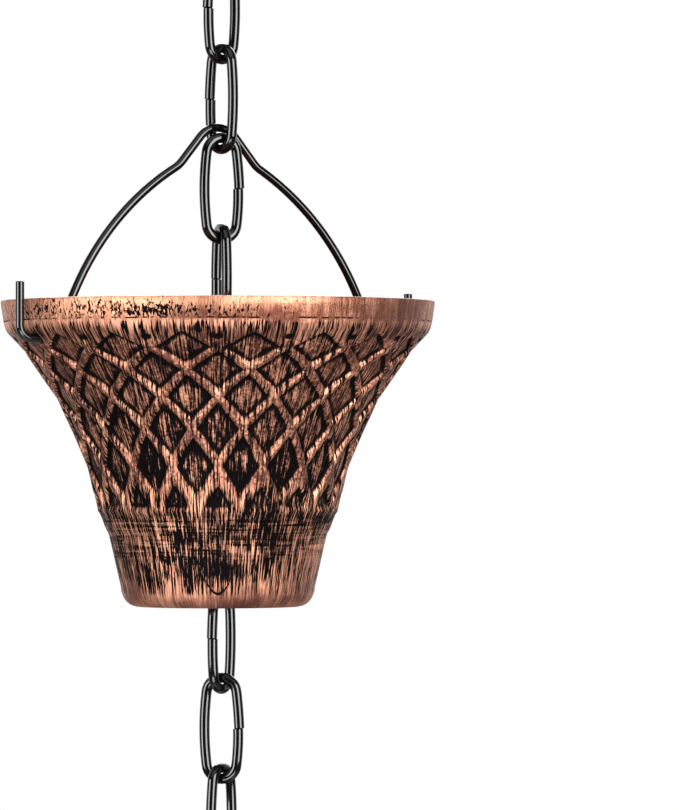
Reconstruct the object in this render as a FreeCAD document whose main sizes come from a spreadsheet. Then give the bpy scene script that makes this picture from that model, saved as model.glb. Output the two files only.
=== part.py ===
"""Rain chain: a strand of oval wire links that carries cast lattice cups on bent-wire bails.

The strand hangs from the inside of its first link, which is the origin, and +Z is up.
Each cup hangs from its bail, the chain runs down through the cup's drain hole, and the
bail of the middle cup lies along X. Sizes are in millimetres and angles in degrees.
"""
import FreeCAD, Part
import math
import os
import re

import Sketcher
from FreeCAD import Placement, Rotation, Vector

# Driving dimensions
DIMENSIONS = {
    # chain
    "link_wire": 2.4,            # diameter of the link wire
    "link_inner_length": 20.9,
    "link_inner_width": 5.8,
    "link_bow": 0.5,             # how much further out the bowed legs reach than the end bends
    "link_play": 0.2,            # gap left between one link and the next
    "link_seam": 0.35,           # gap where the ends of a bent link meet
    "links_per_cup": 10,
    "cup_count": 3,
    # cup, from its rim downwards
    "rim_radius": 50.0,
    "rim_wall": 2.0,
    "rim_band": 5.0,             # height of the band under the rim
    "rim_taper": 0.7,            # how far that band leans in
    "rim_bend": 4.2,             # radius of the bend from the band to the flare
    "flare_inset": 1.6,          # top of the flare, inside the rim
    "flare_top_depth": 7.4,
    "flare_curve": 83.0,         # radius of the flare's hollow curve
    "flare_top_angle": 43.0,     # lean of the wall from upright, top of the flare
    "flare_foot_angle": 11.0,    # lean of the wall from upright, foot of the flare
    "wall": 2.0,
    "step_width": 2.5,           # step in from the flare's foot to the base
    "step_height": 5.4,
    "base_taper": 2.8,
    "base_corner": 4.5,          # radius of the rounded edge round the bottom
    "base_corner_width": 3.9,
    "cup_height": 70.3,
    "cup_floor": 2.0,
    "drain_radius": 12.5,
    # lattice of ribs on the flare
    "lattice_columns": 18,
    "lattice_rings": 6,
    "ring_growth": 1.13,         # each ring of crossings is this much further than the last
    "rib_width": 1.9,
    "pocket_depth": 0.8,
    "pocket_draft": 0.35,        # lean of the pocket's sides, from the surface to its floor
    "arch_rise": 4.2,            # height of the small arches that stand on the foot of the flare
    "arch_width": 4.4,
    "arch_foot": 0.6,            # from the foot of the flare to the foot of an arch
    # bail
    "bail_wire": 2.0,
    "bail_rise": 40.0,           # crown's centre line above the rim
    "bail_play": 0.25,           # gap between the crown and the links it hangs among
    "crown_slope": 50.0,         # fall of the wire beside the crown
    "shoulder_reach": 10.2,      # first bend, from the middle of the bail
    "shoulder_bend": 7.0,
    "flank_slope": 31.0,         # fall of the wire past the first bend
    "flank_bow": 0.92,           # share of the leg above its bow that the bow takes up
    "ear_depth": 9.0,            # centre of the ear holes below the rim
    "ear_play": 1.2,             # ear holes are wider than the wire by this
    "ear_slope": 65.0,           # fall of the leg where it reaches the ear
    "ear_bend": 2.6,
    "ear_inset": 7.4,            # corner of the leg inside the ear, from the rim
    "hook_play": 0.6,            # gap between the hook and the rim
    "hook_bend": 3.0,
    "hook_rise": 3.8,            # tip of the hook on the near side of the middle cup, above the rim
    "far_hook_rise": 2.4,        # tip of the other hook, cut shorter
}

# Turn of each link about the chain, from the top of a cup's stretch to its foot, as seen
# from the front of the middle cup; the link that carries the bail is the second one
LINK_TURNS = [-41, 50, 163, 73, -5, 97, 19, -59, 197, -55]
BAIL_LINK = 1                    # counted from 0
FRONT = -30.0                    # direction of the view that the turns are given in
SQUARE_TURN = -90.0              # first and last link lie square to the frame


def add_sheet(doc):
    """Spreadsheet with one aliased cell for each driving dimension."""
    sheet = doc.addObject("Spreadsheet::Sheet", "dims")
    for row, (name, value) in enumerate(DIMENSIONS.items(), start=1):
        sheet.set(f"A{row}", name)
        sheet.set(f"B{row}", str(value))
        sheet.setAlias(f"B{row}", name)
    doc.recompute()
    return sheet


def bound(text):
    """Expression with each driving dimension named as a cell of the sheet."""
    names = "|".join(sorted(DIMENSIONS, key=len, reverse=True))
    return re.sub(rf"\b({names})\b", r"dims.\1", text)


def value(sheet, text):
    """Number that an expression in the driving dimensions stands for."""
    return float(sheet.evalExpression(bound(text)))


def plane(body, role):
    """Origin plane or axis of a body, by its role."""
    return next(f for f in body.Origin.OriginFeatures if f.Role == role)


def add_sketch(body, name, role):
    """Empty sketch on one of the body's own origin planes."""
    sketch = body.newObject("Sketcher::SketchObject", name)
    sketch.AttachmentSupport = [(plane(body, role), "")]
    sketch.MapMode = "FlatFace"
    return sketch


def bind(sketch, constraint, text):
    """Adds a dimension to a sketch and ties it to the sheet."""
    index = sketch.addConstraint(constraint)
    sketch.setExpression(f"Constraints[{index}]", bound(text))


def arc_between(start, end, radius, side):
    """Arc between two points that bulges to the left of the way along (side 1) or the right (-1)."""
    chord = end - start
    left = Vector(-chord.y, chord.x, 0) / chord.Length
    centre = (start + end) / 2 - left * side * math.sqrt(radius ** 2 - chord.Length ** 2 / 4)
    first, last = (start, end) if side < 0 else (end, start)
    begin = math.atan2(first.y - centre.y, first.x - centre.x)
    finish = math.atan2(last.y - centre.y, last.x - centre.x)
    if finish < begin:
        finish += 2 * math.pi
    return Part.ArcOfCircle(Part.Circle(centre, Vector(0, 0, 1), radius), begin, finish)


def closed_profile(sheet, sketch, corners):
    """Closed outline of lines and arcs in a half section.

    Each corner is (radius, depth below the rim, arc): the first two are expressions and
    arc is None for a straight side to the next corner, or (radius, side).
    """
    points = [Vector(value(sheet, r), -value(sheet, d), 0) for r, d, _ in corners]
    count = len(corners)
    for i, (_, _, arc) in enumerate(corners):
        start, end = points[i], points[(i + 1) % count]
        if arc is None:
            sketch.addGeometry(Part.LineSegment(start, end))
        else:
            sketch.addGeometry(arc_between(start, end, value(sheet, arc[0]), arc[1]))
    ends = [(2, 1) if arc is not None and arc[1] > 0 else (1, 2) for _, _, arc in corners]
    for i, (radius, depth, arc) in enumerate(corners):
        following = (i + 1) % count
        sketch.addConstraint(Sketcher.Constraint(
            "Coincident", i, ends[i][1], following, ends[following][0]))
        start = ends[i][0]
        bind(sketch, Sketcher.Constraint("DistanceX", -1, 1, i, start, points[i].x), radius)
        if depth == "0":
            sketch.addConstraint(Sketcher.Constraint("PointOnObject", i, start, -1))
        else:
            bind(sketch, Sketcher.Constraint("DistanceY", i, start, -1, 1, -points[i].y), depth)
        if arc is not None:
            bind(sketch, Sketcher.Constraint("Radius", i, value(sheet, arc[0])), arc[0])


# Centre line of the link: half its width and length, and the radii of its ends and legs
LINK_REACH = "((link_inner_width + link_wire) / 2)"
LINK_RISE = "((link_inner_length + link_wire) / 2)"
LINK_END = f"({LINK_REACH} - link_bow)"
LINK_SIDE = f"(({LINK_REACH} ^ 2 + ({LINK_RISE} - {LINK_END}) ^ 2 - {LINK_END} ^ 2) / (2 * link_bow))"


def add_link(doc, sheet):
    """Oval link of bent wire, its inside top at the origin and its loop in the XZ plane."""
    body = doc.addObject("PartDesign::Body", "link")
    reach, end, side = (value(sheet, text) for text in (LINK_REACH, LINK_END, LINK_SIDE))
    middle = -value(sheet, "link_inner_length / 2")
    rise = value(sheet, f"{LINK_RISE} - {LINK_END}")
    lean = math.asin(rise / (side - end))
    seam = math.asin(value(sheet, "link_seam / 2") / side)

    path = add_sketch(body, "link_path", "XZ_Plane")
    for x, z, radius, begin, finish in (
            (side - reach, middle, side, math.pi - lean, math.pi - seam),
            (0, middle + rise, end, lean, math.pi - lean),
            (reach - side, middle, side, -lean, lean),
            (0, middle - rise, end, math.pi + lean, 2 * math.pi - lean),
            (side - reach, middle, side, math.pi + seam, math.pi + lean)):
        circle = Part.Circle(Vector(x, z, 0), Vector(0, 0, 1), radius)
        path.addGeometry(Part.ArcOfCircle(circle, begin, finish))
    for a, a_end, b, b_end in ((0, 1, 1, 2), (1, 1, 2, 2), (2, 1, 3, 2), (3, 1, 4, 2)):
        path.addConstraint(Sketcher.Constraint("Tangent", a, a_end, b, b_end))
    for a, b in ((1, 3), (2, 0), (2, 4)):
        path.addConstraint(Sketcher.Constraint("Equal", a, b))
    path.addConstraint(Sketcher.Constraint("PointOnObject", 1, 3, -2))
    path.addConstraint(Sketcher.Constraint("PointOnObject", 3, 3, -2))
    bind(path, Sketcher.Constraint("Radius", 1, end), LINK_END)
    bind(path, Sketcher.Constraint("Radius", 2, side), LINK_SIDE)
    for arc, point, depth in (
            (1, 3, f"link_inner_length / 2 - {LINK_RISE} + {LINK_END}"),
            (3, 3, f"link_inner_length / 2 + {LINK_RISE} - {LINK_END}"),
            (0, 3, "link_inner_length / 2"), (4, 3, "link_inner_length / 2"),
            (0, 2, "(link_inner_length - link_seam) / 2"),
            (4, 1, "(link_inner_length + link_seam) / 2")):
        bind(path, Sketcher.Constraint("DistanceY", arc, point, -1, 1, value(sheet, depth)), depth)

    section = add_sketch(body, "link_section", "XY_Plane")
    section.setExpression("AttachmentOffset.Base.z", bound("-(link_inner_length - link_seam) / 2"))
    section.addGeometry(Part.Circle(Vector(-reach, 0, 0), Vector(0, 0, 1), value(sheet, "link_wire / 2")))
    section.addConstraint(Sketcher.Constraint("PointOnObject", 0, 3, -1))
    bind(section, Sketcher.Constraint("DistanceX", 0, 3, -1, 1, reach), LINK_REACH)
    bind(section, Sketcher.Constraint("Radius", 0, value(sheet, "link_wire / 2")), "link_wire / 2")
    doc.recompute()

    pipe = body.newObject("PartDesign::AdditivePipe", "link_wire")
    pipe.Profile = section
    pipe.Spine = path
    doc.recompute()
    return body


# Sizes that follow from the driving ones
FLARE_TOP = "(rim_radius - flare_inset)"
FLARE_FOOT = f"({FLARE_TOP} + flare_curve * (cos(flare_top_angle) - cos(flare_foot_angle)))"
FLARE_FOOT_DEPTH = "(flare_top_depth + flare_curve * (sin(flare_top_angle) - sin(flare_foot_angle)))"
BASE_TOP = f"({FLARE_FOOT} - step_width)"
BASE_TOP_DEPTH = f"({FLARE_FOOT_DEPTH} + step_height)"
BASE_FOOT = f"({BASE_TOP} - base_taper)"
BASE_FOOT_DEPTH = "(cup_height - base_corner)"
EAR_HOLE = "(bail_wire + ear_play)"
CROWN_DROP = "(link_inner_length / 2 - link_play - link_wire - bail_play - bail_wire / 2)"
LEG_BESIDE_CROWN = f"({LINK_REACH} - {LINK_SIDE} + sqrt({LINK_SIDE} ^ 2 - {CROWN_DROP} ^ 2))"


def add_cup_blank(doc, sheet):
    """Cast cup before its lattice: a turned wall and a floor round the drain hole."""
    body = doc.addObject("PartDesign::Body", "cup_blank")
    outline = add_sketch(body, "cup_section", "XZ_Plane")
    closed_profile(sheet, outline, [
        # outside, downwards
        ("rim_radius", "0", None),
        ("rim_radius - rim_taper", "rim_band", ("rim_bend", 1)),
        (FLARE_TOP, "flare_top_depth", ("flare_curve", -1)),
        (FLARE_FOOT, FLARE_FOOT_DEPTH, None),
        (BASE_TOP, BASE_TOP_DEPTH, None),
        (BASE_FOOT, BASE_FOOT_DEPTH, ("base_corner", 1)),
        (f"{BASE_FOOT} - base_corner_width", "cup_height", None),
        # bottom and drain hole
        ("drain_radius", "cup_height", None),
        ("drain_radius", "cup_height - cup_floor", None),
        # inside, upwards
        (f"{BASE_FOOT} - base_corner_width - wall / 2", "cup_height - cup_floor",
         ("base_corner - wall / 2", -1)),
        (f"{BASE_FOOT} - wall", f"{BASE_FOOT_DEPTH} - wall / 2", None),
        (f"{BASE_TOP} - wall", f"{BASE_TOP_DEPTH} - wall / 2", None),
        (f"{FLARE_FOOT} - wall * cos(flare_foot_angle)",
         f"{FLARE_FOOT_DEPTH} - wall * sin(flare_foot_angle)", ("flare_curve + wall", 1)),
        (f"{FLARE_TOP} - wall * cos(flare_top_angle)",
         "flare_top_depth - wall * sin(flare_top_angle)", None),
        ("rim_radius - rim_wall", "0", None),
    ])
    doc.recompute()
    wall = body.newObject("PartDesign::Revolution", "cup_wall")
    wall.Profile = outline
    wall.ReferenceAxis = (outline, ["V_Axis"])
    wall.Angle = 360
    doc.recompute()
    return body


def flare_point(sheet, lean, turn, out):
    """Point on the flare where its wall leans by lean, turned about the cup, and moved out of the wall."""
    curve = value(sheet, "flare_curve")
    top = math.radians(value(sheet, "flare_top_angle"))
    lean, turn = math.radians(lean), math.radians(turn)
    radius = value(sheet, FLARE_TOP) + curve * (math.cos(top) - math.cos(lean)) + out * math.cos(lean)
    depth = value(sheet, "flare_top_depth") + curve * (math.sin(top) - math.sin(lean)) + out * math.sin(lean)
    return Vector(radius * math.cos(turn), radius * math.sin(turn), -depth)


def ring_leans(sheet):
    """Lean of the wall at each ring of rib crossings, from the top of the flare to its foot."""
    top, foot = value(sheet, "flare_top_angle"), value(sheet, "flare_foot_angle")
    growth, rings = value(sheet, "ring_growth"), int(value(sheet, "lattice_rings"))
    whole = growth ** rings - 1
    return [top - (top - foot) * (growth ** ring - 1) / whole for ring in range(rings + 1)]


def pocket(mouth, floor):
    """Closed solid between two matching rings of points, each closed by triangles from its middle."""
    count = len(mouth)
    mouth_middle = sum(mouth, Vector()) / count
    floor_middle = sum(floor, Vector()) / count
    triangles = []
    for i in range(count):
        j = (i + 1) % count
        triangles += [(mouth[i], mouth[j], mouth_middle), (floor[j], floor[i], floor_middle),
                      (mouth[j], mouth[i], floor[i]), (floor[i], floor[j], mouth[j])]
    faces = [Part.Face(Part.makePolygon([a, b, c, a])) for a, b, c in triangles]
    solid = Part.Solid(Part.Shell(faces))
    if solid.Volume < 0:
        solid.reverse()
    return solid


def add_lattice_pockets(doc, sheet):
    """Kite-shaped pockets between the ribs, row by row round the flare."""
    leans = ring_leans(sheet)
    columns = int(value(sheet, "lattice_columns"))
    step = 360.0 / columns
    rib, depth = value(sheet, "rib_width"), value(sheet, "pocket_depth")
    draft, curve = value(sheet, "pocket_draft"), value(sheet, "flare_curve")
    arch_width, arch_foot = value(sheet, "arch_width"), value(sheet, "arch_foot")
    arch_top = value(sheet, "arch_foot + arch_rise")
    solids = []
    for row in range(1, len(leans)):
        upper, middle = leans[row - 1], leans[row]
        last_row = row + 1 == len(leans)
        lower = middle if last_row else leans[row + 1]
        turn = step / 2 if row % 2 else 0.0
        radius = math.hypot(*flare_point(sheet, middle, 0, 0)[:2])
        half_width = radius * math.radians(step / 2)
        half_height = curve * math.radians(upper - middle)
        slant = math.hypot(half_width, half_height)

        def ring(inset, out):
            """Corners of a kite set in from the crossings of the ribs and moved out of the wall."""
            side = math.degrees(inset * slant / half_height / radius)
            tip = math.degrees(inset * slant / half_width / curve)
            if last_row:
                inset -= rib / 2
                foot = middle + math.degrees((arch_foot + inset) / curve)
                top = middle + math.degrees((arch_top - inset) / curve)
                spread = math.degrees((arch_width / 2 - inset) / radius)
                return [(top, 0, out), (foot, -spread, out), (foot, spread, out)]
            return [(upper - tip, 0, out), (middle, side - step / 2, out),
                    (lower + tip, 0, out), (middle, step / 2 - side, out)]

        flat = [ring(rib / 2 - draft, depth), ring(rib / 2 + draft, -depth)]
        for column in range(columns):
            mouth, floor = ([flare_point(sheet, lean, turn + aside + column * step, out)
                             for lean, aside, out in corners] for corners in flat)
            solids.append(pocket(mouth, floor))
    pockets = doc.addObject("Part::Feature", "lattice_pockets")
    pockets.Shape = Part.makeCompound(solids)
    return pockets


def add_cup(doc, blank, pockets):
    """Cup with its lattice cut into the flare and an ear hole drilled through each side."""
    carved = doc.addObject("Part::Cut", "cup_carved")
    carved.Base = blank
    carved.Tool = pockets
    drill = doc.addObject("Part::Cylinder", "ear_drill")
    drill.setExpression("Radius", bound(f"{EAR_HOLE} / 2"))
    drill.setExpression("Height", bound("2 * rim_radius"))
    drill.Placement.Rotation = Rotation(Vector(0, 1, 0), 90)
    drill.setExpression("Placement.Base.x", bound("-rim_radius"))
    drill.setExpression("Placement.Base.z", bound("-ear_depth"))
    cup = doc.addObject("Part::Cut", "cup")
    cup.Base = carved
    cup.Tool = drill
    doc.recompute()
    return cup


def bent_wire(corners):
    """Centre line of straight runs joined by tangent arcs; each corner is (point, bend radius)."""
    edges = []
    start = corners[0][0]
    for (before, _), (corner, radius), (after, _) in zip(corners, corners[1:], corners[2:]):
        back, ahead = (before - corner).normalize(), (after - corner).normalize()
        half = back.getAngle(ahead) / 2
        trim = radius / math.tan(half)
        inward = (back + ahead).normalize()
        arc = Part.Arc(corner + back * trim, corner + inward * (radius / math.sin(half) - radius),
                       corner + ahead * trim)
        edges += [Part.LineSegment(start, arc.StartPoint).toShape(), arc.toShape()]
        start = arc.EndPoint
    edges.append(Part.LineSegment(start, corners[-1][0]).toShape())
    return Part.Wire(edges)


def bail_corners(sheet):
    """Corners of the bail in the XZ plane, its crown on the Z axis, heights from the rim."""
    crown_bend = value(sheet, f"{LINK_END} + link_wire / 2 + bail_play + bail_wire / 2")
    crown_fall = math.radians(value(sheet, "crown_slope"))
    flank_fall = math.radians(value(sheet, "flank_slope"))
    ear_fall = math.radians(value(sheet, "ear_slope"))
    ear_x, ear_z = value(sheet, "rim_radius - ear_inset"), -value(sheet, "ear_depth")
    hook_x = value(sheet, "rim_radius + hook_play + bail_wire / 2")
    crown_z = value(sheet, "bail_rise") + crown_bend * (1 / math.cos(crown_fall) - 1)
    shoulder_x = value(sheet, "shoulder_reach")
    shoulder_z = crown_z - shoulder_x * math.tan(crown_fall)
    across = ear_x - shoulder_x
    steeper = math.tan(ear_fall) - math.tan(flank_fall)
    flank_run = (ear_z + across * math.tan(ear_fall) - shoulder_z) / steeper
    flank_z = shoulder_z - flank_run * math.tan(flank_fall)
    bow = value(sheet, "flank_bow") * flank_run / math.cos(flank_fall)
    right = [
        (shoulder_x, shoulder_z, value(sheet, "shoulder_bend")),
        (shoulder_x + flank_run, flank_z, bow / math.tan((ear_fall - flank_fall) / 2)),
        (ear_x, ear_z, value(sheet, "ear_bend")),
        (hook_x, ear_z, value(sheet, "hook_bend")),
    ]
    corners = [(Vector(0, 0, crown_z), crown_bend)]
    for x, z, bend in right:
        corners = [(Vector(-x, 0, z), bend), *corners, (Vector(x, 0, z), bend)]
    tip, far_tip = value(sheet, "hook_rise"), value(sheet, "far_hook_rise")
    return [(Vector(-hook_x, 0, tip), 0.0), *corners, (Vector(hook_x, 0, far_tip), 0.0)]


def add_bail(doc, sheet):
    """Bail of bent wire: a crown over the chain, two bowed legs, and a hook through each ear."""
    corners = bail_corners(sheet)
    path = doc.addObject("Part::Feature", "bail_path")
    path.Shape = bent_wire(corners)
    section = doc.addObject("Part::Circle", "bail_section")
    section.setExpression("Radius", bound("bail_wire / 2"))
    section.Placement.Base = corners[0][0]
    bail = doc.addObject("Part::Sweep", "bail")
    bail.Sections = [section]
    bail.Spine = (path, [f"Edge{n + 1}" for n in range(len(path.Shape.Edges))])
    bail.Solid = True
    bail.Frenet = False
    doc.recompute()
    return bail


def place(item, name, turn, x, y, z):
    """Names a sub-part and puts it in the strand; z is an expression."""
    item.Label = name
    item.Placement = Placement(Vector(x, y, 0), Rotation(Vector(0, 0, 1), turn))
    item.setExpression("Placement.Base.z", bound(z))
    return item


def copy_of(doc, source):
    """Linked copy of a finished piece, with a placement of its own."""
    link = doc.addObject("App::Link", source.Name + "_copy")
    link.LinkedObject = source
    link.LinkTransform = False
    return link


def link_turn(index, per_cup, count):
    """Direction of a link's loop about the chain; every other cup's stretch is turned the other way."""
    if index in (0, count - 1):
        return SQUARE_TURN
    turn = LINK_TURNS[index % per_cup % len(LINK_TURNS)]
    return FRONT - turn if index // per_cup % 2 else FRONT + turn


def build(doc):
    """Builds the strand and returns its sub-parts."""
    sheet = add_sheet(doc)
    link = add_link(doc, sheet)
    cup = add_cup(doc, add_cup_blank(doc, sheet), add_lattice_pockets(doc, sheet))
    bail = add_bail(doc, sheet)
    cups, per_cup = int(value(sheet, "cup_count")), int(value(sheet, "links_per_cup"))
    links = cups * per_cup
    pitch = "(link_inner_length - link_play)"
    pieces = []
    for index in range(links):
        item = copy_of(doc, link) if index else link
        turn = link_turn(index, per_cup, links)
        pieces.append(place(item, f"link_{index + 1:02d}", turn, 0, 0, f"-{index} * {pitch}"))
    for number in range(cups):
        carrier = number * per_cup + BAIL_LINK
        turn = 0.0 if number % 2 else 2 * FRONT
        loop = link_turn(carrier, per_cup, links)
        crossing = abs(math.sin(math.radians(loop - turn)))
        apart = value(sheet, "(link_wire + bail_wire) / 2 + bail_play") / crossing
        aside = value(sheet, LEG_BESIDE_CROWN) - apart
        away = Rotation(Vector(0, 0, 1), loop).multVec(Vector(-aside if number % 2 else aside, 0, 0))
        rim = f"-{carrier + 1} * {pitch} + link_wire + bail_play + bail_wire / 2 - bail_rise"
        for source, name in ((bail, "bail"), (cup, "cup")):
            item = copy_of(doc, source) if number else source
            pieces.append(place(item, f"{name}_{number + 1}", turn, away.x, away.y, rim))
    doc.recompute()
    return pieces


def main():
    doc = FreeCAD.newDocument("rain_chain")
    pieces = build(doc)
    for item in doc.Objects:
        if "Invalid" in item.State or "Error" in item.State:
            raise RuntimeError(f"{item.Label} failed: {item.State}")
    os.makedirs("parts", exist_ok=True)
    for item in pieces:
        shape = Part.getShape(item)
        if shape.isNull() or not shape.isValid():
            raise RuntimeError(f"{item.Label} has no valid shape")
        shape.exportStep(f"parts/{item.Label}.step")
        print(item.Label, round(shape.Volume, 1), [round(c, 2) for c in shape.BoundBox.Center])


main()
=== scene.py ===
"""Rain chain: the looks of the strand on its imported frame.

Links and bails are bent from round wire, and the cups are cast with a soft diamond lattice.
Pieces are made in millimetres about their own origin, then set on the frame in metres.
"""
import math

import bpy
import numpy as np
from mathutils import Matrix, Vector


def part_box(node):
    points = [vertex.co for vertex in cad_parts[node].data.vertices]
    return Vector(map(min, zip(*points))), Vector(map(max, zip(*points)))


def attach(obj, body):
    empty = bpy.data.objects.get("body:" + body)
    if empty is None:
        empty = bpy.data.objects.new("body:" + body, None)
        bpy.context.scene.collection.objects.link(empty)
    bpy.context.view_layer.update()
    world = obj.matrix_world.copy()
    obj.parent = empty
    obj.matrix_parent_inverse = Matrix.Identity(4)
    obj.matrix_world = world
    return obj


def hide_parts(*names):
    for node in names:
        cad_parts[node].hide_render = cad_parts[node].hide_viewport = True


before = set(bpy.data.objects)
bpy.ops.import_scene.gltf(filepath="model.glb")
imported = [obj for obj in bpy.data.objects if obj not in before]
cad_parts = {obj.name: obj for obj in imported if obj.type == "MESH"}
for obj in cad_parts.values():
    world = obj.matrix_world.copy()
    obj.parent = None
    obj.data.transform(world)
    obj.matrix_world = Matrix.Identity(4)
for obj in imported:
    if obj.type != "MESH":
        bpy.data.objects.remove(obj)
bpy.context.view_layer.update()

FRONT = -30.0                    # azimuth of the main view, which faces the middle cup
MM = 0.001

# Sizes of the solids, in millimetres and degrees
LINK_WIRE, LINK_LENGTH, LINK_WIDTH, LINK_BOW = 2.4, 20.89, 5.8, 0.5
BAIL_WIRE, BAIL_PLAY, BAIL_RISE, HOOK_RISE, FAR_HOOK_RISE = 2.0, 0.25, 40.0, 3.8, 2.4
RIM, FLARE_TOP, FLARE_TOP_DEPTH, FLARE_CURVE = 49.98, 48.4, 7.4, 83.0
LEAN_TOP, LEAN_FOOT = 43.0, 11.0
STEP_IN, STEP_DROP, BASE_TAPER = 2.5, 5.4, 2.8
HEEL_IN, HEEL_RISE = 3.9, 4.5    # rounding at the foot of the base
WALL, CUP_HEIGHT, DRAIN = 2.0, 70.3, 12.5
HALF_COLUMNS, RINGS, GROWTH = 36, 6, 1.13
CELL = 16                        # steps of the cup's mesh across half a pocket
PRESS, PILLOW, CREST, DIMPLE = 0.85, 0.25, 0.15, 0.35    # depths and heights of the lattice's forms
DIMPLE_RING = 0.42               # ring of the dimples above the first row
EAR_DEPTH, EAR_HOLE = 9.0, 3.2
WIRE_END = 0.87                  # share of a wire's width at its broken end edges

LINK_TURNS = [-41, 50, 163, 73, -5, 97, 19, -59, 197, -55]
SQUARE_TURN = -90.0
PER_CUP, LINKS, CUPS = 10, 30, 3

# Colours
BLACK, DUST = (0.0025, 0.0026, 0.0031), (0.05, 0.05, 0.052)
DULL_COPPER, BRIGHT_COPPER = (0.17, 0.062, 0.045), (0.94, 0.44, 0.28)
DULL_RIM, BRIGHT_RIM = (0.17, 0.057, 0.037), (0.95, 0.46, 0.28)
PATINA = (0.0036, 0.0026, 0.003)
WHITE, PALE, DIM_ROOM = (1.0, 1.0, 1.0), (0.8, 0.8, 0.79), (0.03, 0.03, 0.031)
DRUM = 40.0                      # radius of the drum on which the upright strokes are drawn
SCAR_DRUM, SCAR_BOW, SCAR_DEPTH = 24.0, 0.36, 66.9       # the curved scratch low on the base

# Setting, in metres
VIEW_DISTANCE, VIEW_DROP = 1.3, 0.0343
FLOOR_RADIUS, FLOOR_DEPTH = 5.0, 1.5


# Materials

class Nodes:
    """Short way to lay out the nodes of a material or of the world."""

    def __init__(self, owner):
        owner.use_nodes = True
        self.owner, self.tree = owner, owner.node_tree

    def plug(self, socket, item):
        if isinstance(item, bpy.types.NodeSocket):
            self.tree.links.new(item, socket)
        elif socket.type == "RGBA":
            socket.default_value = (*item, 1.0)
        else:
            socket.default_value = item

    def add(self, kind, inputs=(), **settings):
        node = self.tree.nodes.new(kind)
        for key, item in settings.items():
            setattr(node, key, item)
        for key, item in dict(inputs).items():
            self.plug(node.inputs[key], item)
        return node

    def math(self, operation, a, b=0.0, clamp=False):
        return self.add("ShaderNodeMath", {0: a, 1: b}, operation=operation, use_clamp=clamp).outputs[0]

    def times(self, first, *others):
        for other in others:
            first = self.math("MULTIPLY", first, other)
        return first

    def about_zero(self, noise):
        return self.math("SUBTRACT", noise, 0.5)

    def weighted(self, *pairs):
        """Sum of items, each times its weight."""
        total = 0.0
        for item, weight in pairs:
            total = self.add("ShaderNodeMath", {0: item, 1: weight, 2: total}, operation="MULTIPLY_ADD").outputs[0]
        return total

    def ramp(self, item, low, high, out_low=0.0, out_high=1.0):
        return self.add("ShaderNodeMapRange", {"Value": item, "From Min": low, "From Max": high, "To Min": out_low,
                                               "To Max": out_high}, interpolation_type="SMOOTHSTEP").outputs[0]

    def noise(self, vector, scale, detail=2.0, roughness=0.5):
        return self.add("ShaderNodeTexNoise", {"Vector": vector, "Scale": scale, "Detail": detail,
                                               "Roughness": roughness}).outputs["Fac"]

    def mix(self, factor, a, b):
        return self.add("ShaderNodeMix", {0: factor, 6: a, 7: b}, data_type="RGBA").outputs[2]

    def attribute(self, name, output):
        return self.add("ShaderNodeAttribute", attribute_name=name).outputs[output]

    def bump(self, height, strength, distance):
        return self.add("ShaderNodeBump", {"Height": height, "Strength": strength, "Distance": distance}).outputs[0]

    def finish(self, **inputs):
        for key, item in inputs.items():
            self.plug(self.tree.nodes["Principled BSDF"].inputs[key.replace("_", " ")], item)
        return self.owner


def new_material(name):
    return Nodes(bpy.data.materials.new(name))


def black_enamel(name, lustre):
    """Glossy black enamel on wire, a little uneven, with specks of dust."""
    n = new_material(name)
    place = n.add("ShaderNodeTexCoord").outputs["Object"]
    uneven = n.noise(place, 90.0, 3.0)
    dust = n.ramp(n.noise(place, 420.0, 3.0, 0.6), 0.68, 0.82)
    colour = n.mix(n.times(dust, 0.1), BLACK, DUST)
    rough = n.ramp(uneven, 0.3, 0.7, lustre - 0.03, lustre + 0.04)
    return n.finish(Base_Color=colour, Roughness=rough, Specular_IOR_Level=0.7, Normal=n.bump(uneven, 0.05, 0.0004))


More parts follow.
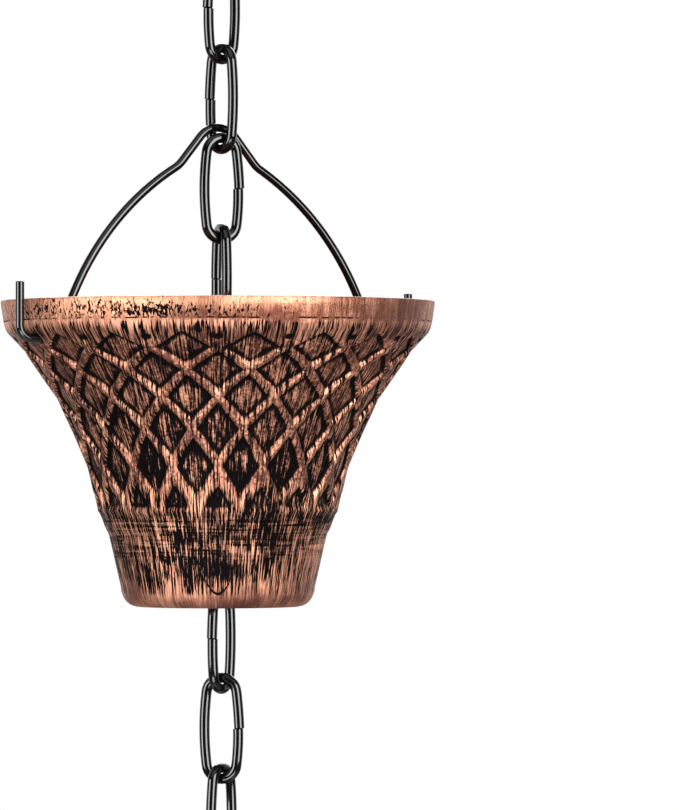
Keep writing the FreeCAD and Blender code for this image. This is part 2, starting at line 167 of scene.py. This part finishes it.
def antique_copper(name):
    """Copper brushed bright over a dark patina that stays in the pockets and in upright streaks, with painted
    highlights, a painted sheen, painted light and painted shade in its tone.
    """
    n = new_material(name)
    place = n.attribute("cup_place", "Vector")
    recess, pillow, flank, below, ring, outside = (
        n.attribute(key, "Fac") for key in ("recess", "pillow", "flank", "below", "ring", "outside"))
    x, y, z = n.add("ShaderNodeSeparateXYZ", {0: place}).outputs
    level = n.add("ShaderNodeCombineXYZ", {"X": x, "Y": y}).outputs[0]
    facing = n.add("ShaderNodeVectorMath", {0: level}, operation="NORMALIZE").outputs[0]
    face_x, face_y, _ = n.add("ShaderNodeSeparateXYZ", {0: facing}).outputs

    def upright(along):
        """Place on a straight drum, squeezed in height so that noise draws out into upright strokes."""
        return n.add("ShaderNodeCombineXYZ", {"X": n.times(face_x, DRUM), "Y": n.times(face_y, DRUM),
                                              "Z": n.times(z, along)}).outputs[0]

    def band(start, full, fade, end):
        """Level band of the cup, from where it starts down to where it ends."""
        return n.times(n.ramp(z, start, full), n.ramp(z, end, fade))

    def smudge_and_painted_light(aside, depth, width, height):
        """Soft patch about the front of the main view, for smudges and flecks and for painted sheen, painted light and
        painted shade: degrees aside of its middle, depth below the rim, and its reach.
        """
        way = math.radians(-FRONT - aside)
        nearness = n.weighted((face_x, -math.sin(way)), (face_y, -math.cos(way)))
        flat = n.ramp(nearness, math.cos(math.radians(width)), 1.0)
        tall = n.ramp(n.math("ABSOLUTE", n.math("ADD", z, depth)), height, 0.0)
        return n.times(flat, tall)

    # noises
    strokes = n.noise(upright(0.08), 1.0, 4.0, 0.6)
    hairs = n.noise(upright(0.07), 2.9, 3.0, 0.65)
    ticks = n.noise(upright(0.4), 2.6, 3.0, 0.6)
    flattened = n.add("ShaderNodeVectorMath", {0: place, 1: (0.05, 0.05, 1.0)}, operation="MULTIPLY").outputs[0]
    scratches = n.noise(flattened, 1.6, 3.0, 0.6)
    patches = n.noise(place, 0.11, 3.0, 0.55)
    grain = n.noise(place, 1.5, 3.0, 0.6)
    lumps = n.noise(place, 0.4, 2.0, 0.5)

    # parts of the cup, from the rim down
    rim = n.ramp(z, -6.0, -4.6)
    collar = band(-5.2, -7.4, -8.4, -10.5)
    lattice = band(-8.0, -11.0, -40.0, -45.0)
    foot = band(-40.0, -46.0, -49.0, -53.0)
    base = n.ramp(z, -47.0, -53.0)
    edge = n.ramp(z, -63.0, -66.5)
    # painted light: a patch over the pockets right of the front, lightened in floor copper and in tone
    right_pockets_painted_light = smudge_and_painted_light(44, 22, 40, 22)
    shade = n.times(n.about_zero(patches), n.ramp(rim, 0.0, 1.0, 1.0, 0.6))
    hair = n.times(n.about_zero(hairs), n.ramp(rim, 0.0, 1.0, 1.0, 0.1), n.ramp(z, -56.0, -67.0, 1.0, 0.5))
    scratch = n.times(n.about_zero(scratches), band(-49.0, -51.0, -57.0, -61.0))

    # dark streaks: few on the rim, many on the collar, the foot and the base, with a few smudges
    bare = n.weighted(
        (strokes, 0.32), (hair, 0.74), (rim, 0.18), (collar, -0.035), (foot, -0.075), (base, -0.058), (edge, 0.03),
        (lattice, -0.025), (shade, -0.16), (scratch, 0.3),
        (smudge_and_painted_light(-6, 57, 26, 12), -0.065), (smudge_and_painted_light(4, 53, 80, 4), -0.03), (smudge_and_painted_light(-40, 32, 40, 24), -0.02),
        (smudge_and_painted_light(34, 55, 20, 12), -0.04), (smudge_and_painted_light(-64, 58, 34, 14), -0.05))
    streak = n.ramp(bare, 0.13, 0.1)

    # flecks on the rim and the broken line round its foot
    flecked = n.weighted((ticks, 0.7), (strokes, 0.3), (smudge_and_painted_light(-46, 2.8, 50, 4.0), 0.12),
                         (smudge_and_painted_light(-6, 3.5, 26, 2.8), 0.09))
    flecks = n.times(n.ramp(flecked, 0.6, 0.66), rim)
    wander = n.weighted((z, 1.0), (patches, 0.8), (4.35, 1.0))
    broken = n.ramp(n.weighted((strokes, 0.5), (patches, 0.5)), 0.49, 0.55)
    line = n.times(n.ramp(n.math("ABSOLUTE", wander), 0.24, 0.08), broken)

    # curved scratch low on the worn side of the base
    way = math.radians(FRONT)
    aside = n.weighted((face_x, SCAR_DRUM * math.cos(way)), (face_y, SCAR_DRUM * math.sin(way)))
    worn_side = n.ramp(n.weighted((face_x, math.sin(way)), (face_y, -math.cos(way))), 0.4, 0.6)
    bow = n.weighted((z, 1.0), (n.times(aside, aside), -SCAR_BOW), (SCAR_DEPTH, 1.0))
    scar = n.times(n.ramp(n.math("ABSOLUTE", bow), 0.5, 0.2), n.ramp(n.math("ABSOLUTE", aside), 3.2, 2.8), worn_side)

    # pockets: dark all round, with copper brushed over the middle of the floor and up the lower edge
    lower = n.math("MAXIMUM", flank, 0.0)
    sunk = n.weighted((recess, 1.0), (lower, -0.42), (n.times(lower, hair), -1.1), (n.times(foot, recess, hair), -2.4))
    # painted light: more copper on the floors of the pockets right of the front
    brushed = n.weighted(
        (hair, 0.62), (grain, 0.13), (strokes, 0.25), (pillow, 0.07), (ring, -0.03), (below, 0.035), (shade, 0.3),
        (right_pockets_painted_light, 0.055), (0.055, 1.0))
    ragged = n.ramp(n.weighted((pillow, 1.0), (hair, 1.6)), 0.15, 0.6)
    floor_copper = n.times(n.ramp(brushed, 0.18, 0.24), ragged)
    pocket = n.weighted((n.ramp(sunk, 0.3, 0.6), 1.0), (floor_copper, -0.8))

    dark = n.times(streak, outside)
    for mark in (flecks, line, scar):
        dark = n.math("MAXIMUM", dark, mark)
    dark = n.math("MAXIMUM", dark, pocket, clamp=True)

    # copper: even and speckled on the ribs; upright streaks up the lower corners of the pockets are brightened as a
    # painted highlight, and patches on the rim as a painted sheen; the rest of the rim, the collar and the rib edges
    # are darkened as painted shade, and the base and the right pockets lightened as painted light
    rib_hair = n.times(lattice, n.math("SUBTRACT", 1.0, recess), hair)
    speckle = n.times(lattice, n.about_zero(grain))
    # painted highlight: upright streaks on the upward-facing lower corners of the pockets, stronger on the lower rows
    painted_highlight_licks = n.times(n.ramp(n.times(flank, below), 0.3, 0.9), n.ramp(hair, -0.06, 0.1))
    tone = n.ramp(n.weighted(
        (hair, 0.6), (rib_hair, -0.45), (strokes, 0.2), (shade, 0.3), (speckle, 0.45),
        # painted shade: the rib edges darkened along the recess, and the rim's tone lowered
        (painted_highlight_licks, n.ramp(ring, 2.5, 5.0, 0.1, 0.22)), (recess, -0.025), (lattice, -0.012), (rim, -0.03),
        # painted shade: the collar's tone lowered; painted light: the base's tone raised
        (collar, -0.04), (foot, 0.05), (base, 0.04), (edge, -0.04),
        # painted sheen: the two patches on the rim; painted light: the right pockets; painted shade: the patch low on
        # the rim right of the middle, on the next line
        (smudge_and_painted_light(-8, 0.5, 48, 4.5), 0.07), (smudge_and_painted_light(-44, 2.5, 46, 6), 0.08), (right_pockets_painted_light, 0.03),
        (smudge_and_painted_light(12, 4, 30, 4), -0.03)), 0.03, 0.21)
    copper = n.mix(tone, n.mix(rim, DULL_COPPER, DULL_RIM), n.mix(rim, BRIGHT_COPPER, BRIGHT_RIM))
    height = n.weighted((hairs, 0.6), (grain, 0.25), (lumps, 0.8), (dark, -0.4))
    return n.finish(Base_Color=n.mix(dark, copper, PATINA), Metallic=n.ramp(dark, 0.2, 0.8, 0.8, 0.0),
                    Roughness=n.weighted((dark, 0.04), (grain, 0.1), (0.36, 1.0)), Specular_IOR_Level=0.02,
                    Normal=n.bump(height, 0.6, 0.0005))


# Bent wire: a disc drawn along its path in edit mode

def start_wire(name, diameter, sides):
    """Disc of wire at the origin, facing up, left in edit mode and selected."""
    bpy.ops.object.select_all(action="DESELECT")
    bpy.ops.mesh.primitive_circle_add(vertices=sides, radius=diameter / 2, fill_type="NGON")
    piece = bpy.context.object
    piece.name = name
    bpy.ops.object.mode_set(mode="EDIT")
    bpy.ops.mesh.select_mode(type="FACE")
    bpy.ops.mesh.select_all(action="SELECT")
    return piece


def draw_wire(points, chamfer):
    """Draws the selected disc through the points of a path in the XZ plane, square to it and with broken end edges."""
    first = (points[1] - points[0]).normalized() * chamfer
    last = (points[-2] - points[-1]).normalized() * chamfer
    points = [points[0], points[0] + first, *points[1:-1], points[-1] + last, points[-1]]
    heading = 0.0
    for i, point in enumerate(points):
        before, after = points[max(i - 1, 0)], points[min(i + 1, len(points) - 1)]
        along = after - before
        turn = (math.atan2(along.x, along.z) - heading + math.pi) % (2 * math.pi) - math.pi
        if i:
            bpy.ops.mesh.extrude_region_move(TRANSFORM_OT_translate={"value": point - before})
        else:
            bpy.ops.transform.translate(value=point)
        bpy.ops.transform.rotate(value=-turn, orient_axis="Y", center_override=point)
        if i in (0, 1, len(points) - 1):
            size = 1 / WIRE_END if i == 1 else WIRE_END
            bpy.ops.transform.resize(value=(size, size, size), center_override=point)
        heading += turn


def end_wire(piece):
    """Turns the normals outward and leaves edit mode with the size in metres."""
    bpy.ops.mesh.select_all(action="SELECT")
    bpy.ops.mesh.normals_make_consistent(inside=False)
    bpy.ops.object.mode_set(mode="OBJECT")
    piece.data.transform(Matrix.Scale(MM, 4))
    bpy.ops.object.shade_smooth_by_angle(angle=math.radians(32))
    return piece


def bend(centre, radius, begin, finish, steps):
    """Points on a bend in the XZ plane, its angles in radians from +X towards +Z."""
    return [Vector((centre[0] + radius * math.cos(a), 0, centre[1] + radius * math.sin(a)))
            for a in np.linspace(begin, finish, steps + 1)]


def make_link():
    """Oval link with its inside top at the origin; its ends meet halfway down the -X leg, a little out of line."""
    reach, rise, middle = (LINK_WIDTH + LINK_WIRE) / 2, (LINK_LENGTH + LINK_WIRE) / 2, -LINK_LENGTH / 2
    end = reach - LINK_BOW
    side = (reach ** 2 + (rise - end) ** 2 - end ** 2) / (2 * LINK_BOW)
    lean = math.asin((rise - end) / (side - end))
    seam = 0.005 / side
    upper = bend((side - reach, middle), side, math.pi - seam, math.pi - lean, 8)
    lower = bend((side - reach, middle), side, math.pi + lean, math.pi + seam, 8)
    for leg, out in ((upper, -0.16), (lower[::-1], 0.12)):
        for i, point in enumerate(leg):
            point.x += out * (1 - i / 8) ** 2
    points = upper
    points += bend((0, middle + rise - end), end, math.pi - lean, lean, 16)[1:]
    points += bend((reach - side, middle), side, lean, -lean, 12)[1:]
    points += bend((0, middle - rise + end), end, -lean, lean - math.pi, 16)[1:]
    points += lower[1:]
    piece = start_wire("link", LINK_WIRE, 24)
    draw_wire(points, 0.16)
    return end_wire(piece)


def bail_corners():
    """Corners of the bail and the radius of each bend, from one hook to the other."""
    crown_bend = LINK_WIDTH / 2 - LINK_BOW + LINK_WIRE + BAIL_PLAY + BAIL_WIRE / 2
    crown, flank, ear = (math.radians(a) for a in (50.0, 31.0, 65.0))
    ear_x, ear_z, hook_x = RIM - 7.4, -EAR_DEPTH, RIM + 0.6 + BAIL_WIRE / 2
    crown_z = BAIL_RISE + crown_bend * (1 / math.cos(crown) - 1)
    shoulder_x = 10.2
    shoulder_z = crown_z - shoulder_x * math.tan(crown)
    run = (ear_z + (ear_x - shoulder_x) * math.tan(ear) - shoulder_z) / (math.tan(ear) - math.tan(flank))
    bow = 0.92 * run / math.cos(flank) / math.tan((ear - flank) / 2)
    corners = [(0.0, crown_z, crown_bend)]
    for x, z, radius in [(shoulder_x, shoulder_z, 7.0), (shoulder_x + run, shoulder_z - run * math.tan(flank), bow),
                         (ear_x, ear_z, 2.6), (hook_x, ear_z, 3.0)]:
        corners = [(-x, z, radius), *corners, (x, z, radius)]
    corners = [(-hook_x, HOOK_RISE, 0.0), *corners, (hook_x, FAR_HOOK_RISE, 0.0)]
    return [(Vector((x, 0, z)), radius) for x, z, radius in corners]


def make_bail():
    """Bail about the middle of its cup's rim, both hooks up."""
    corners = bail_corners()
    points = [corners[0][0]]
    for (before, _), (corner, radius), (after, _) in zip(corners, corners[1:], corners[2:]):
        back, ahead = (before - corner).normalized(), (after - corner).normalized()
        half = back.angle(ahead) / 2
        centre = corner + (back + ahead).normalized() * radius / math.sin(half)
        start = corner + back * radius / math.tan(half) - centre
        finish = corner + ahead * radius / math.tan(half) - centre
        begin, sweep = math.atan2(start.z, start.x), math.pi - 2 * half
        if start.cross(finish).y > 0:
            sweep = -sweep
        points += bend((centre.x, centre.z), radius, begin, begin + sweep, 20 if radius > 20 else 12)
    points.append(corners[-1][0])
    points = [points[0]] + [b for a, b in zip(points, points[1:]) if (b - a).length > 1e-2]
    piece = start_wire("bail", BAIL_WIRE, 24)
    draw_wire(points, 0.14)
    return end_wire(piece)


# The cup: its section spun round, then the lattice pressed into its outside

def lean_at(q):
    """Lean of the flare's wall, in radians, at ring q of the lattice."""
    return np.radians(LEAN_TOP - (LEAN_TOP - LEAN_FOOT) * (GROWTH ** q - 1) / (GROWTH ** RINGS - 1))


def flare(lean, out=0.0):
    """Radius and height of the flare's wall at a lean, moved out of the wall."""
    top = math.radians(LEAN_TOP)
    return (float(FLARE_TOP + FLARE_CURVE * (math.cos(top) - np.cos(lean)) + out * np.cos(lean)),
            float(-FLARE_TOP_DEPTH - FLARE_CURVE * (math.sin(top) - np.sin(lean)) - out * np.sin(lean)))


def cup_section():
    """Section of the cup's wall as radius and height: down the outside, under the floor and up the inside."""
    foot_r, foot_z = flare(math.radians(LEAN_FOOT))
    base_r, base_z = foot_r - STEP_IN, foot_z - STEP_DROP
    end_r, end_z = base_r - BASE_TAPER, -CUP_HEIGHT + HEEL_RISE
    section = [(RIM - inward, -depth) for inward, depth in (
        (0.5, 0.0), (0.12, 0.1), (0.0, 0.4), (0.2, 1.8), (0.4, 3.2), (0.55, 4.2), (0.64, 4.7), (0.72, 5.2), (0.88, 5.8),
        (1.12, 6.5))]
    section += [flare(lean_at(q)) for q in np.linspace(0, RINGS, RINGS * CELL + 1)]
    section += [(foot_r - STEP_IN * t - 0.12 * math.sin(2 * math.pi * t), foot_z - STEP_DROP * t)
                for t in (0.2, 0.4, 0.6, 0.8, 0.95)]
    section += [(base_r + (end_r - base_r) * t, base_z + (end_z - base_z) * t)
                for t in (0.04, 0.15, 0.3, 0.45, 0.6, 0.8, 1)]
    section += [(end_r - HEEL_IN + HEEL_IN * math.cos(a), end_z - HEEL_RISE * math.sin(a))
                for a in np.radians(np.linspace(12, 84, 7))]
    section += [(end_r - 4.4, -CUP_HEIGHT), (DRAIN + 0.3, -CUP_HEIGHT)]
    section += [(DRAIN, -CUP_HEIGHT + 0.3), (DRAIN, -CUP_HEIGHT + 1.7), (DRAIN + 0.3, -CUP_HEIGHT + 2)]
    section += [(end_r - 4.9 + 2.9 * math.sin(a), -CUP_HEIGHT + 5.5 - 3.5 * math.cos(a))
                for a in np.radians((0, 45, 90))]
    section += [(base_r - 2, base_z + 1.0)]
    section += [flare(a, -WALL) for a in np.radians(np.linspace(LEAN_FOOT, LEAN_TOP, 12))]
    section += [(RIM - 2.1, -4.0), (RIM - 2.0, -0.4), (RIM - 1.6, 0.0)]
    return section


def ease(x, low, high):
    """Smooth step from 0 at low to 1 at high."""
    t = np.clip((x - low) / (high - low), 0, 1)
    return t * t * (3 - 2 * t)


def press_lattice(piece):
    """Presses the pockets into the flare and keeps what guides the patina, the painted highlights and the painted shade
    as attributes of the points.
    """
    mesh = piece.data
    co = np.empty(len(mesh.vertices) * 3)
    mesh.vertices.foreach_get("co", co)
    co = co.reshape(-1, 3)
    radius, z, turn = np.hypot(co[:, 0], co[:, 1]), co[:, 2].copy(), np.arctan2(co[:, 1], co[:, 0])
    top = math.radians(LEAN_TOP)
    back_r, up_z = FLARE_TOP + FLARE_CURVE * math.cos(top) - radius, z + FLARE_TOP_DEPTH + FLARE_CURVE * math.sin(top)
    lean, out = np.arctan2(up_z, back_r), FLARE_CURVE - np.hypot(up_z, back_r)
    foot_z = flare(math.radians(LEAN_FOOT))[1]
    on_flare = (np.abs(out) < 0.4) & (z < -FLARE_TOP_DEPTH + 0.01) & (z > foot_z - 0.01)

    # place in the lattice: p counts half columns and q rings; pockets sit where p + q is even
    whole = GROWTH ** RINGS - 1
    p = turn / (2 * math.pi) * HALF_COLUMNS
    q = np.log(1 + np.clip((top - lean) / math.radians(LEAN_TOP - LEAN_FOOT), 0, 1) * whole) / math.log(GROWTH)
    across = radius * 2 * math.pi / HALF_COLUMNS
    along = FLARE_CURVE * math.radians(LEAN_TOP - LEAN_FOOT) * math.log(GROWTH) * GROWTH ** q / whole
    span = 1 / np.sqrt(1 / across ** 2 + 1 / along ** 2)
    falling, rising = np.round((p + q) / 2) * 2, np.round((p - q) / 2) * 2
    row = (falling - rising) / 2
    gap = np.minimum(1 - np.abs(p + q - falling), 1 - np.abs(p - q - rising)) * span
    gap = np.where(on_flare & (row > 0.5) & (row < RINGS - 0.5), gap, 0)
    below = q - row

    # small dimples above the first row and small arches on the foot
    beside = (p + 1) % 2 - 1
    dimple = np.exp(-(beside * across / 1.1) ** 2 - ((q - DIMPLE_RING) * along / 0.6) ** 2) * (row < 0.5)
    height = np.clip((RINGS - q) * along + 0.2, 0, 9)
    uneven = np.sin(np.round(p / 2) * 12.9)
    tall, wide = 7.4 + 1.0 * uneven, 3.5 - 0.3 * uneven + 0.3 * np.sin(np.round(p / 2) * 4.1)
    arch = (wide * np.clip(1 - (height / tall) ** 1.6, -1, 1) - np.abs(beside) * across) * (row > RINGS - 0.5)
    wobble = np.sin(3.1 * p + 1.7 * q) * np.sin(2.3 * q - 1.3 * p)
    wobble += 0.6 * np.sin(7.3 * p + 5.1 * q) * np.sin(6.7 * q - 4.9 * p)
    edge = gap + 0.16 * wobble
    share = np.maximum(ease(edge, 0.52, 1.25), ease(arch, 0.0, 1.2) * ease(height, 0.2, 1.6))
    share = np.where(on_flare, share, 0)
    pillow = np.where(on_flare, np.maximum(ease(gap, 1.5, 3.3), 0.8 * ease(arch, 0.9, 2.2)), 0)
    crest = np.where(on_flare & (q > 0.7) & (q < RINGS - 0.4), np.clip(1 - gap / 0.9, 0, 1), 0)
    press = PRESS * share - PILLOW * pillow - CREST * crest + DIMPLE * np.where(on_flare, dimple, 0)
    co[:, 0] -= press * np.cos(lean) * np.cos(turn)
    co[:, 1] -= press * np.cos(lean) * np.sin(turn)
    co[:, 2] += press * np.sin(lean)
    mesh.vertices.foreach_set("co", co.ravel())
    mesh.update()

    outside = np.where(z > -FLARE_TOP_DEPTH, radius > RIM - 1.7, np.where(z < foot_z, radius > 22, out > -1.0))
    flank = np.where(gap > 0, np.clip(below * 1.4, -1, 1), 0) * ease(gap, 0.3, 0.8) * (1 - ease(gap, 1.5, 2.1))
    mark = np.exp(-(beside * across / 1.25) ** 4 - ((q - DIMPLE_RING) * along / 0.85) ** 4) * (row < 0.5)
    guides = {"recess": np.maximum(share, np.where(on_flare, mark, 0)), "pillow": pillow, "flank": flank,
              "below": np.where(gap > 0, np.clip(below, -1, 1), 0), "ring": np.where(on_flare, q, 0),
              "outside": outside.astype(float)}
    for name, values in guides.items():
        mesh.attributes.new(name, "FLOAT", "POINT").data.foreach_set("value", values.astype(np.float32))
    mesh.attributes.new("cup_place", "FLOAT_VECTOR", "POINT").data.foreach_set("vector", co.astype(np.float32).ravel())


def make_cup():
    """Cup about the middle of its rim, with ears on the X axis."""
    ring = cup_section()
    mesh = bpy.data.meshes.new("cup")
    mesh.from_pydata([(r, 0, z) for r, z in ring], [(i, (i + 1) % len(ring)) for i in range(len(ring))], [])
    piece = bpy.data.objects.new("cup", mesh)
    bpy.context.collection.objects.link(piece)
    bpy.ops.object.select_all(action="DESELECT")
    piece.select_set(True)
    bpy.context.view_layer.objects.active = piece
    bpy.ops.object.mode_set(mode="EDIT")
    bpy.ops.mesh.select_all(action="SELECT")
    bpy.ops.mesh.spin(steps=HALF_COLUMNS * CELL, angle=2 * math.pi, axis=(0, 0, 1), center=(0, 0, 0))
    bpy.ops.mesh.select_all(action="SELECT")
    bpy.ops.mesh.remove_doubles(threshold=0.01)
    bpy.ops.mesh.normals_make_consistent(inside=False)
    bpy.ops.object.mode_set(mode="OBJECT")
    bpy.ops.mesh.primitive_cylinder_add(vertices=32, radius=EAR_HOLE / 2, depth=2 * RIM, location=(0, 0, -EAR_DEPTH),
                                        rotation=(0, math.pi / 2, 0))
    drill = bpy.context.object
    cut = piece.modifiers.new("ear_holes", "BOOLEAN")
    cut.operation, cut.object, cut.solver = "DIFFERENCE", drill, "EXACT"
    bpy.ops.object.select_all(action="DESELECT")
    piece.select_set(True)
    bpy.context.view_layer.objects.active = piece
    bpy.ops.object.modifier_apply(modifier=cut.name)
    bpy.data.objects.remove(drill)
    press_lattice(piece)
    piece.data.transform(Matrix.Scale(MM, 4))
    bpy.ops.object.shade_smooth_by_angle(angle=math.radians(50))
    return piece


# Setting the pieces on the frame

def set_copies(master, names, places, finish):
    """Copies a piece to each node's place; each copy rides its body and stands for its solid."""
    master.data.materials.clear()
    master.data.materials.append(finish)
    for name, where in zip(names, places):
        piece = master.copy()
        piece.data = master.data.copy()
        piece.name = name + "_visual"
        piece.data.transform(where)
        bpy.context.collection.objects.link(piece)
        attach(piece, name)
        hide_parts(name)
    bpy.data.objects.remove(master)


def link_turn(index):
    """Direction of a link's loop about the chain, as on the solids."""
    if index in (0, LINKS - 1):
        return SQUARE_TURN
    turn = LINK_TURNS[index % PER_CUP]
    return FRONT - turn if index // PER_CUP % 2 else FRONT + turn


def turned(x, y, z, degrees):
    return Matrix.Translation((x, y, z)) @ Matrix.Rotation(math.radians(degrees), 4, "Z")


link_names = [f"link_{i + 1:02d}" for i in range(LINKS)]
link_places = [turned(0, 0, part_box(name)[1].z - LINK_WIRE * MM, link_turn(i)) for i, name in enumerate(link_names)]
cup_places, rims = [], []
for i in range(CUPS):
    low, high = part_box(f"cup_{i + 1}")
    rims.append(Vector(((low.x + high.x) / 2, (low.y + high.y) / 2, high.z)))
    cup_places.append(turned(*rims[-1], 0.0 if i % 2 else 2 * FRONT))

enamel = black_enamel("black_enamel", 0.08)
bail_enamel = black_enamel("black_bail_enamel", 0.1)
copper = antique_copper("antique_copper")
set_copies(make_link(), link_names, link_places, enamel)
set_copies(make_bail(), [f"bail_{i + 1}" for i in range(CUPS)], cup_places, bail_enamel)
set_copies(make_cup(), [f"cup_{i + 1}" for i in range(CUPS)], cup_places, copper)
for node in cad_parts.values():
    node.data.materials.clear()
    node.data.materials.append(copper if node.name.startswith("cup") else enamel)


# Camera, lights, floor and white surround

towards = Vector((math.sin(math.radians(FRONT)), -math.cos(math.radians(FRONT)), 0))
across = Vector((math.cos(math.radians(FRONT)), math.sin(math.radians(FRONT)), 0))
middle = rims[1]

camera_data = bpy.data.cameras.new("camera")
camera_data.lens, camera_data.sensor_width = 250.8, 36.0
camera = bpy.data.objects.new("camera", camera_data)
bpy.context.collection.objects.link(camera)
camera.location = middle + towards * VIEW_DISTANCE - Vector((0, 0, VIEW_DROP))
aim = middle + across * 0.028 + Vector((0, 0, 0.01037 - VIEW_DROP))
camera.rotation_euler = (aim - camera.location).to_track_quat("-Z", "Y").to_euler()
bpy.context.scene.camera = camera


def soft_box(name, azimuth, elevation, distance, width, height, power):
    """Soft box aimed at the middle cup, its direction given from the front of the cup."""
    data = bpy.data.lights.new(name, "AREA")
    data.shape, data.size, data.size_y, data.energy = "RECTANGLE", width, height, power
    light = bpy.data.objects.new(name, data)
    bpy.context.collection.objects.link(light)
    a, e = math.radians(azimuth), math.radians(elevation)
    way = (towards * math.cos(a) + across * math.sin(a)) * math.cos(e) + Vector((0, 0, math.sin(e)))
    light.location = middle + Vector((0, 0, -0.03)) + way * distance
    light.rotation_euler = way.to_track_quat("Z", "Y").to_euler()
    light.visible_camera = False


def pale_floor():
    """Round floor well below the strand: pale with a faint shadow, fading into the white, and clear from beneath."""
    bpy.ops.mesh.primitive_circle_add(vertices=96, radius=FLOOR_RADIUS, fill_type="NGON",
                                      location=(0, 0, -FLOOR_DEPTH))
    floor = bpy.context.object
    floor.name = "pale_floor"
    n = new_material("pale_floor")
    ray = n.add("ShaderNodeLightPath").outputs["Is Camera Ray"]
    place = n.add("ShaderNodeTexCoord").outputs["Object"]
    away = n.add("ShaderNodeVectorMath", {0: place}, operation="LENGTH").outputs["Value"]
    white = n.add("ShaderNodeEmission", {"Color": WHITE}).outputs[0]
    clear = n.add("ShaderNodeBsdfTransparent").outputs[0]
    floor.data.materials.append(n.finish(Base_Color=PALE, Roughness=0.9))
    matt = n.tree.nodes["Principled BSDF"].outputs[0]
    seen = n.times(ray, n.ramp(away, 0.8, 4.6, 0.8, 1.0))
    pale = n.add("ShaderNodeMixShader", {0: seen, 1: matt, 2: white}).outputs[0]
    under = n.times(ray, n.add("ShaderNodeNewGeometry").outputs["Backfacing"])
    n.plug(n.tree.nodes["Material Output"].inputs["Surface"],
           n.add("ShaderNodeMixShader", {0: under, 1: pale, 2: clear}).outputs[0])


def white_surround():
    """White all round for the camera; gloss sees the white backdrop behind the strand and a dim room in front."""
    world = bpy.data.worlds.new("white_surround")
    bpy.context.scene.world = world
    n = Nodes(world)
    ray = n.add("ShaderNodeLightPath").outputs
    way = n.add("ShaderNodeTexCoord").outputs["Generated"]
    behind = n.add("ShaderNodeVectorMath", {0: way, 1: -towards}, operation="DOT_PRODUCT").outputs["Value"]
    gloss = n.math("MAXIMUM", ray["Is Glossy Ray"], ray["Is Transmission Ray"])
    seen = n.math("ADD", n.times(gloss, n.ramp(behind, 0.2, 0.7)), ray["Is Camera Ray"], clamp=True)
    n.plug(n.tree.nodes["Background"].inputs["Color"], n.mix(seen, DIM_ROOM, WHITE))


# azimuth and elevation in degrees, then distance, width, height and power
soft_box("right_box", 38, 8, 1.1, 0.7, 0.9, 17.0)
soft_box("left_box", -60, 2, 1.1, 0.6, 0.6, 9.0)
soft_box("top_box", 0, 55, 1.2, 1.4, 1.0, 3.0)
soft_box("low_fill", -10, -35, 1.3, 0.9, 0.5, 8.0)
soft_box("back_box", 170, 35, 1.2, 1.0, 0.8, 9.0)
pale_floor()
white_surround()
bpy.context.scene.view_settings.view_transform = "Standard"
